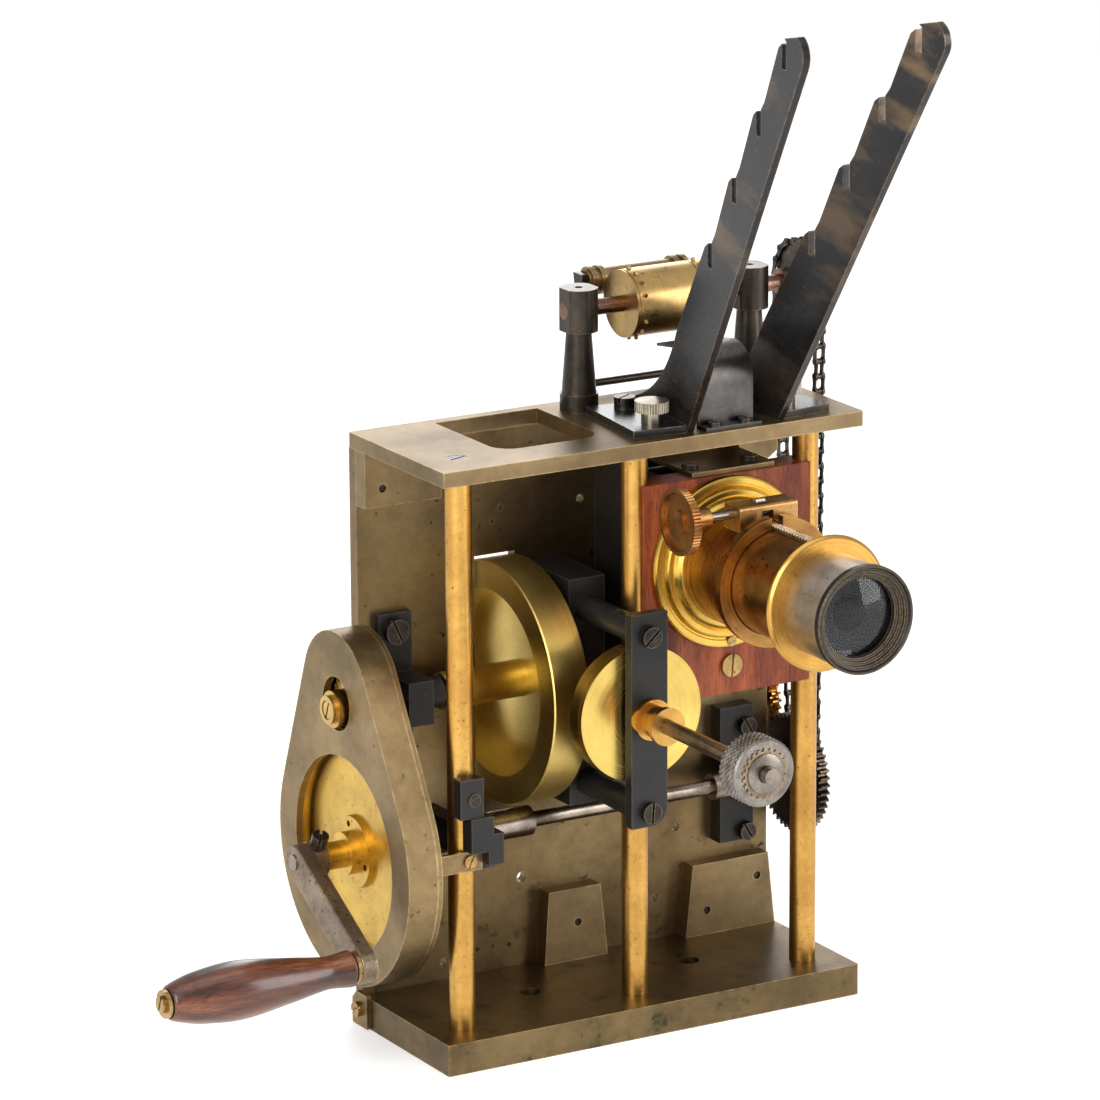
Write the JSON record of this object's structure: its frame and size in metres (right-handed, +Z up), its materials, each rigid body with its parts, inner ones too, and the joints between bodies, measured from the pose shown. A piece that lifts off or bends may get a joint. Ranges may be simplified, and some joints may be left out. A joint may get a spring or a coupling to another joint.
{
  "type": "hand-cranked film projector mechanism",
  "caption": "Hand-cranked brass cinematograph movement: posts and plates, gear case, flywheel, shutter shaft, chain-driven film drum, rack-focused lens and open spool arms.",
  "frame": {"origin": "centre of the frame's footprint on the underside of the base plate", "axes": "+Z up, +X towards the chain side, -Y towards the lens front"},
  "size_m": [0.3092, 0.203, 0.3937],
  "materials": {
    "bronze_plate": "old matt bronze plate with dark and greenish patches",
    "lacquered_brass": "turned brass with old orange lacquer, spotted",
    "bright_steel": "turned steel, lightly tarnished",
    "case_brass": "aged matt brass",
    "bright_brass": "turned brass, bright on the faces",
    "arm_steel": "dull steel with worn edges",
    "dark_steel": "dark oiled steel",
    "handle_wood": "turned hardwood, dark polish",
    "chain_steel": "oiled steel chain",
    "black_steel": "black japanned metal, worn at the edges",
    "mahogany": "red brown mahogany, polished",
    "lens_brass": "lacquered lens brass, slightly brown",
    "nickel": "worn nickel plate",
    "glass": "clear polished lens glass",
    "copper_brass": "coppery turned brass",
    "dark_bronze": "dark bronze casting, rubbed on the edges",
    "drum_brass": "film drum brass, brown with handling",
    "grey_steel": "bent grey sheet steel",
    "blued_steel": "blued sheet steel, rubbed grey"
  },
  "bodies": {
    "frame": {"base_plate": "bronze_plate", "back_plate": "bronze_plate", "top_plate": "bronze_plate", "posts": "lacquered_brass", "post_screws": "bright_steel", "angle_blocks": "bronze_plate", "case_shell": "case_brass", "case_lid": "case_brass", "brass_straps": "case_brass", "drive_chain": "chain_steel", "flywheel_bearing": "black_steel", "left_crank_bearing": "black_steel", "right_crank_bearing": "black_steel", "shutter_yoke": "black_steel", "shutter_pillars": "black_steel", "shutter_bar": "black_steel", "shutter_bush": "bright_brass", "lens_board": "mahogany", "gate_top_plate": "black_steel", "lens_flange": "lens_brass", "lens_jacket": "lens_brass", "pinion_saddle": "lens_brass", "drum_pillars": "dark_bronze", "roller_hinge": "dark_bronze", "film_guide": "grey_steel", "left_spool_arm": "blued_steel", "right_spool_arm": "blued_steel", "thumb_screws": "nickel", "film_gate": "black_steel", "beater_bearings": "bright_brass", "cheese_head_screws": "dark_steel", "small_screws": "dark_steel", "brass_screws": "bright_brass"},
    "crank": {"main_wheel": "bright_brass", "crank_shaft": "bright_steel", "crank_arm": "arm_steel", "crank_clamp_screw": "dark_steel", "handle_spindle": "case_brass", "cross_gear": "dark_steel", "lower_sprocket": "dark_steel"},
    "handle": {"handle_grip": "handle_wood"},
    "flywheel": {"flywheel": "bright_brass", "flywheel_shaft": "bright_steel", "drive_pinion": "bright_brass"},
    "shutter": {"shutter_shaft": "bright_steel", "shutter_disc": "bright_brass", "shutter_nut": "bright_steel"},
    "drum": {"feed_drum": "drum_brass", "drum_shaft": "bright_steel", "upper_sprocket": "dark_steel"},
    "beater": {"beater_shaft": "bright_brass"},
    "lens_tube": {"draw_tube": "lens_brass", "focus_rack": "lens_brass", "lens_nose": "nickel", "lens_ring": "black_steel", "lens_glasses": "glass"},
    "focus": {"focus_pinion": "bright_steel", "focus_knob": "copper_brass"},
    "roller_carrier": {"roller_arm": "dark_bronze"},
    "roller": {"pressure_roller": "case_brass"}
  },
  "joints": [
    {"name": "crank_turn", "type": "hinge", "parent": "frame", "child": "crank", "pos_m": [-0.1, 0.0166, 0.0748], "axis": [1, 0, 0], "continuous": true},
    {"name": "handle_spin", "type": "hinge", "parent": "crank", "child": "handle", "pos_m": [-0.16, -0.03092, 0.04791], "axis": [1, 0, 0], "continuous": true},
    {"name": "flywheel_spin", "type": "hinge", "parent": "frame", "child": "flywheel", "pos_m": [-0.04, 0.0196, 0.1305], "axis": [1, 0, 0], "continuous": true},
    {"name": "shutter_spin", "type": "hinge", "parent": "frame", "child": "shutter", "pos_m": [-0.0125, -0.05, 0.1305], "axis": [0, 1, 0], "continuous": true},
    {"name": "drum_spin", "type": "hinge", "parent": "frame", "child": "drum", "pos_m": [0.04, 0.0216, 0.269], "axis": [1, 0, 0], "continuous": true},
    {"name": "beater_spin", "type": "hinge", "parent": "frame", "child": "beater", "pos_m": [0.06, 0.04047, 0.09867], "axis": [1, 0, 0], "continuous": true},
    {"name": "lens_slide", "type": "slide", "parent": "frame", "child": "lens_tube", "axis": [0, -1, 0], "range_m": [-0.02, 0.012]},
    {"name": "focus_spin", "type": "hinge", "parent": "frame", "child": "focus", "pos_m": [0.01, -0.0489, 0.20276], "axis": [1, 0, 0], "range_deg": [-195, 322]},
    {"name": "roller_swing", "type": "hinge", "parent": "frame", "child": "roller_carrier", "pos_m": [0.04, 0.0391, 0.2349], "axis": [1, 0, 0], "range_deg": [-35, 0], "stiffness_Nm_per_rad": 0.02, "springref_deg": 20.05},
    {"name": "roller_spin", "type": "hinge", "parent": "roller_carrier", "child": "roller", "pos_m": [0.04, 0.0421, 0.274], "axis": [1, 0, 0], "continuous": true}
  ],
  "couplings": [
    {"joint": "flywheel_spin", "follows": "crank_turn", "ratio": -4},
    {"joint": "shutter_spin", "follows": "crank_turn", "ratio": 2},
    {"joint": "drum_spin", "follows": "crank_turn", "ratio": 0.5},
    {"joint": "beater_spin", "follows": "crank_turn", "ratio": -2},
    {"joint": "focus_spin", "follows": "lens_slide", "rad_per_m": -277.78}
  ]
}
